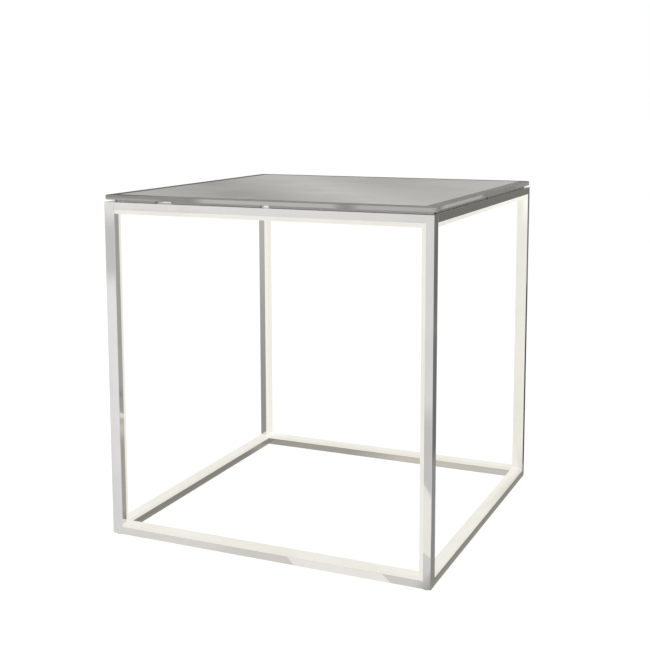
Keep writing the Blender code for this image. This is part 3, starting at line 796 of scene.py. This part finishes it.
def foam_tape(name, dark, light, glow):
    """Closed-cell foam: pits between two greys, and a faint painted glow."""
    material, tree, shader, place = new_finish(name, Roughness=0.85, Emission_Strength=glow)
    cells = add(tree, "ShaderNodeTexVoronoi", {"Vector": place, "Scale": FOAM_CELLS})
    pits = faded(tree, cells.outputs["Distance"], *PIT_EDGE)
    colour = tinted(tree, pits, dark, light)
    tree.links.new(colour, shader["Base Color"])
    tree.links.new(colour, shader["Emission Color"])
    tree.links.new(bump(tree, pits, PIT_DEPTH), shader["Normal"])
    return material


# Both tapes glow a little: painted light for the strips' light that comes through them.
foam = foam_tape("foam_tape", FOAM_DARK, FOAM_LIGHT, glow=0.05)
# The right side's copy has darker greys and less glow: painted shade.
shaded_foam = foam_tape("shaded_foam_tape", SHADED_FOAM_DARK, SHADED_FOAM_LIGHT, glow=0.01)
print("foam cells of about", round(1000 / FOAM_CELLS, 2), "mm")

# %% Zinc-plated steel
SPANGLES = 420.0
ZINC_DARK, ZINC_LIGHT = (0.56, 0.57, 0.58), (0.66, 0.67, 0.68)

zinc, tree, shader, place = new_finish("zinc_plate", Metallic=1.0)
spangle = add(tree, "ShaderNodeTexVoronoi", {"Vector": place, "Scale": SPANGLES})
shade_of_spangle = add(tree, "ShaderNodeSeparateColor", {0: spangle.outputs["Color"]}).outputs[0]
tree.links.new(tinted(tree, shade_of_spangle, ZINC_DARK, ZINC_LIGHT), shader["Base Color"])
hazed(tree, shader, place, patch=0.01, clean=0.28, hazy=0.42)
print("zinc spangles of about", round(1000 / SPANGLES, 1), "mm")

# %% Light tape: board and phosphor
PHOSPHOR_DEEP, PHOSPHOR_PALE = (0.86, 0.66, 0.22), (0.92, 0.76, 0.34)
PHOSPHOR_SPECKS, PHOSPHOR_GLOW = 3000.0, 1.2

board = hazed_finish("white_board", patch=0.004, clean=0.40, hazy=0.55, colour=(0.84, 0.84, 0.82),
                     hazed_colour=(0.80, 0.80, 0.77))
phosphor, tree, shader, place = new_finish("chip_phosphor", Emission_Strength=PHOSPHOR_GLOW, Roughness=0.35)
specks = add(tree, "ShaderNodeTexNoise", {"Vector": place, "Scale": PHOSPHOR_SPECKS})
gel = tinted(tree, specks.outputs["Fac"], PHOSPHOR_DEEP, PHOSPHOR_PALE)
tree.links.new(gel, shader["Base Color"])
tree.links.new(gel, shader["Emission Color"])
print("board and phosphor ready")

# %% Small parts
MOULDING_GRAIN = (4000.0, 0.00001)

silicone = hazed_finish("clear_silicone", patch=0.003, clean=0.35, hazy=0.55, colour=(0.90, 0.90, 0.89),
                        hazed_colour=(0.84, 0.84, 0.82), IOR=1.41, Transmission_Weight=0.35)
moulding = hazed_finish("black_moulding", patch=0.002, clean=0.36, hazy=0.50, colour=(0.022, 0.022, 0.023),
                        hazed_colour=(0.034, 0.034, 0.035), grain=MOULDING_GRAIN)
nickel = hazed_finish("nickel_plate", patch=0.001, clean=0.14, hazy=0.26, colour=(0.68, 0.65, 0.60),
                      hazed_colour=(0.60, 0.57, 0.52), Metallic=1.0)
jacket = hazed_finish("lead_jacket", patch=0.004, clean=0.45, hazy=0.60, colour=(0.80, 0.80, 0.78),
                      hazed_colour=(0.74, 0.74, 0.71))
print("silicone, moulding, nickel and jacket ready")

# %% [markdown]
# ## Dressing the bars
#
# The measured channels have flat chamfers along their outer edges. On real rolled metal these are small
# radii, and a radius matters more than its size suggests: it is what catches a thin line of light along
# each bar. A copy of each node is merged, its flat faces made whole, and the long edges are bevelled in
# two steps, which turns each chamfer into a round.

# %% Refined copies
WELD = 1e-6
FLAT_ANGLE, FOLD_ANGLE, SHARP_ANGLE = (math.radians(angle) for angle in (1.0, 15.0, 50.0))
LONG_EDGE = 0.1
ROUNDING = 0.00014

# How much of each end of a bar the joint takes up, and how far it moves to close the joint
END_ZONE = BAR + 0.0005
JOINT_CLOSING = 0.00017


def merged_copy(node):
    """A bmesh of a node whose loose triangles are merged and whose flat faces are whole."""
    work = bmesh.new()
    work.from_mesh(nodes[node].data)
    bmesh.ops.remove_doubles(work, verts=work.verts, dist=WELD)
    bmesh.ops.dissolve_limit(work, angle_limit=FLAT_ANGLE, verts=work.verts, edges=work.edges)
    return work


def long_edges(work):
    """The long edges where the surface folds by more than a few degrees."""
    return [edge for edge in work.edges if len(edge.link_faces) == 2 and edge.calc_length() > LONG_EDGE
            and edge.calc_face_angle(0.0) > FOLD_ANGLE]


def round_off(work, edges, radius, segments):
    """Rounds the given edges."""
    bmesh.ops.bevel(work, geom=edges, offset=radius, offset_type="OFFSET", segments=segments, profile=0.5,
                    affect="EDGES", material=-1)


def finish_piece(name, work, materials, body, node):
    """A finished piece that stands for a node and rides on its body."""
    mesh = bpy.data.meshes.new(name)
    work.to_mesh(mesh)
    work.free()
    for material in materials:
        mesh.materials.append(material)
    mesh.shade_smooth()
    mesh.set_sharp_from_angle(angle=SHARP_ANGLE)
    item = bpy.data.objects.new(name, mesh)
    scene.collection.objects.link(item)
    flat = item.modifiers.new("flat_faces_stay_flat", "WEIGHTED_NORMAL")
    flat.keep_sharp = True
    flat.weight = 100
    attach(item, body)
    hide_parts(node)
    return item


def close_joints(work, axis):
    """Moves both ends of a bar outwards, so that its joints show as fine lines."""
    places = [vertex.co[axis] for vertex in work.verts]
    low, high = min(places), max(places)
    for end, step in ((low, -JOINT_CLOSING), (high, JOINT_CLOSING)):
        at_end = [vertex for vertex in work.verts if abs(vertex.co[axis] - end) < END_ZONE]
        shift = Vector([step if number == axis else 0.0 for number in range(3)])
        bmesh.ops.translate(work, verts=at_end, vec=shift)


def rounded_bar(node, name, material, axis):
    """A bar whose long edges are rounded and whose joints are closed to a fine line."""
    work = merged_copy(node)
    close_joints(work, axis)
    round_off(work, long_edges(work), ROUNDING, segments=2)
    return finish_piece(name, work, [material], "frame", node)


def dressed_bar(bar, axis):
    """A bar's channel in chrome and its diffuser in opal."""
    return [rounded_bar(f"{bar}_channel", f"{bar}_chrome", chrome[axis], axis),
            rounded_bar(f"{bar}_diffuser", f"{bar}_opal", opal, axis)]


BAR_AXIS = {"front": 0, "right": 1, "back": 0, "left": 1}
UPRIGHT = 2
bars = []
for side in SIDES:
    for level in LEVELS:
        bars += dressed_bar(f"{side}_{level}", BAR_AXIS[side])
for leg in LEGS:
    bars += dressed_bar(f"{leg}_leg", UPRIGHT)
print(len(bars), "bars,", sum(len(bar.data.polygons) for bar in bars), "faces")

# %% [markdown]
# ## The glass plate
#
# The plate is one box whose upright corners are rounded first, and whose rims then get the small arris
# that every handled glass edge is ground to. Both bevels use several steps here, because the rim is what
# the light runs along. The plate has five finishes: the smooth face, the polished edge with its painted
# highlights and faint painted glow, the ground arris on the upper rim, a border nearly as wide as the bars,
# and the underside, whose faint glow is painted light for the little light that comes through. The border
# is darker than the middle as painted shade, for the light from below that it doesn't get where it covers
# the bars and the tape, most of all along its far sides. It is marked off on the top face by four cuts.

# %% Glass plate
CORNER_RADIUS, CORNER_STEPS = 0.005, 12
ARRIS, ARRIS_STEPS = 0.0008, 4
RIM_FOLD = 0.5
LEVEL_FACE, RISING_FACE = 0.99, 0.05
PLATE_FINISHES = [glass_face, glass_edge, ground_arris, rim_band, underside]
FACE, EDGE, UPPER_ARRIS, BORDER, BELOW = range(len(PLATE_FINISHES))

plate = bmesh.new()
middle = (glass_low + glass_high) / 2
size = glass_high - glass_low
bmesh.ops.create_cube(plate, size=1.0, matrix=Matrix.Translation(middle) @ Matrix.Diagonal((*size, 1.0)))
upright = [edge for edge in plate.edges if abs(edge.verts[0].co.z - edge.verts[1].co.z) > size.z / 2]
round_off(plate, upright, CORNER_RADIUS, CORNER_STEPS)
rims = [edge for edge in plate.edges if abs(edge.verts[0].co.z - edge.verts[1].co.z) < size.z / 2
        and len(edge.link_faces) == 2 and edge.calc_face_angle(0.0) > RIM_FOLD]
round_off(plate, rims, ARRIS, ARRIS_STEPS)
for face in plate.faces:
    steepness = face.normal.z
    face.material_index = (FACE if steepness > LEVEL_FACE else BELOW if steepness < -LEVEL_FACE else
                           UPPER_ARRIS if steepness > RISING_FACE else EDGE)


def on_top(face):
    """Whether a face of the plate belongs to its top."""
    return face.calc_center_median().z > glass_high.z - WELD


# Marks off the border of the top face that lies over the bars
for axis in (0, 1):
    for end in (-1, 1):
        top_faces = [face for face in plate.faces if on_top(face)]
        top_parts = top_faces + list({edge for face in top_faces for edge in face.edges})
        top_parts += list({corner for face in top_faces for corner in face.verts})
        direction = Vector([end if number == axis else 0 for number in range(3)])
        bmesh.ops.bisect_plane(plate, geom=top_parts, dist=WELD / 10, plane_co=direction * (HALF - RIM_WIDTH),
                               plane_no=direction)
for face in plate.faces:
    place = face.calc_center_median()
    if on_top(face) and max(abs(place.x), abs(place.y)) > HALF - RIM_WIDTH:
        face.material_index = BORDER
glass_plate = finish_piece("glass_plate", plate, PLATE_FINISHES, "glass", "glass_top")
print("glass plate:", len(glass_plate.data.polygons), "faces")

# %% [markdown]
# ## The other nodes
#
# Everything else keeps its measured shape and gets its finish: the foam tape, the brackets, the light
# tapes, the leads, the socket with its pin, and the pads.

# %% Finishes for the carried-over nodes
BOARD_THICKNESS, CHIP_HEIGHT = 0.0008, 0.001
AWAY_FROM_BENDS = 0.010
CHIP_FINISH = 1


def dress(node, material):
    """Gives a node its finish."""
    mesh = nodes[node].data
    mesh.materials.clear()
    mesh.materials.append(material)


def light_chips(tape, material):
    """Gives the chips another finish: they stand proud of the board, away from its ends and bends."""
    mesh = nodes[tape].data
    mesh.materials.append(material)
    low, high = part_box(tape)
    along = 0 if high.x - low.x > high.y - low.y else 1
    proud = BOARD_THICKNESS + CHIP_HEIGHT / 2
    for face in mesh.polygons:
        reaches = []
        for number in face.vertices:
            place = nodes[tape].matrix_world @ mesh.vertices[number].co
            reaches.append(sorted((min(place[along] - low[along], high[along] - place[along]),
                                   min(place.z - low.z, high.z - place.z))))
        if max(near for near, far in reaches) > proud and min(far for near, far in reaches) > AWAY_FROM_BENDS:
            face.material_index = CHIP_FINISH
    return sum(face.material_index == CHIP_FINISH for face in mesh.polygons)


for side in SIDES:
    dress(f"{side}_light_tape", board)
    print(side, "tape:", light_chips(f"{side}_light_tape", phosphor), "chip faces")
    for strip in [name for name in nodes if name.startswith(side + "_glazing_tape")]:
        # The right side's tape takes the darker copy: painted shade.
        dress(strip, shaded_foam if side == "right" else foam)
for leg in LEGS:
    dress(f"{leg}_foot_pad", silicone)
    for level in LEVELS:
        dress(f"{leg}_{level}_bracket", zinc)
    if f"{leg}_jumper_lead" in nodes:
        dress(f"{leg}_jumper_lead", jacket)
dress("supply_lead", jacket)
dress("socket_housing", moulding)
dress("socket_pin", nickel)
print("nodes dressed")
